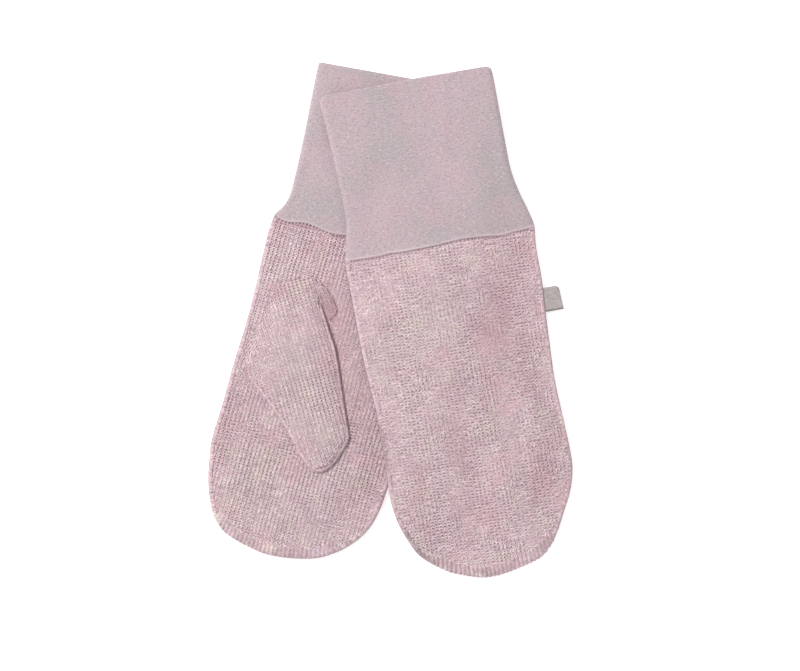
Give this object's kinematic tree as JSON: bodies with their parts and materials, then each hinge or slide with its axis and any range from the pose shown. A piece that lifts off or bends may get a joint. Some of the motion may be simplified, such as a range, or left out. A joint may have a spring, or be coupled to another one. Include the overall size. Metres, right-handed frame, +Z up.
{
  "type": "pair of mittens",
  "caption": "Pair of child's knitted mittens with long plain cuffs, laid flat, one crossed over the other.",
  "frame": {"origin": "middle of the pair's box on the surface that it lies on", "axes": "+Z up from the surface, +Y towards the cuffs, +X to the right as seen from above"},
  "size_m": [0.1531, 0.2164, 0.0124],
  "materials": {
    "wool_knit": "open plain knit of heathered pale pink wool, matt with a soft nap",
    "fine_jersey": "fine smooth jersey in greyed pink, matt, with tiny darker flecks",
    "woven_tape": "bare woven tape, pale greyed beige, slightly smooth"
  },
  "bodies": {
    "root": {"right_hand_back": "wool_knit", "right_hand_palm": "wool_knit", "right_thumb_inner": "wool_knit", "right_thumb_outer": "wool_knit", "right_cuff": "fine_jersey", "left_hand_back": "wool_knit", "left_hand_palm": "wool_knit", "left_thumb_inner": "wool_knit", "left_thumb_outer": "wool_knit", "left_cuff": "fine_jersey", "side_tab": "woven_tape"}
  },
  "joints": []
}
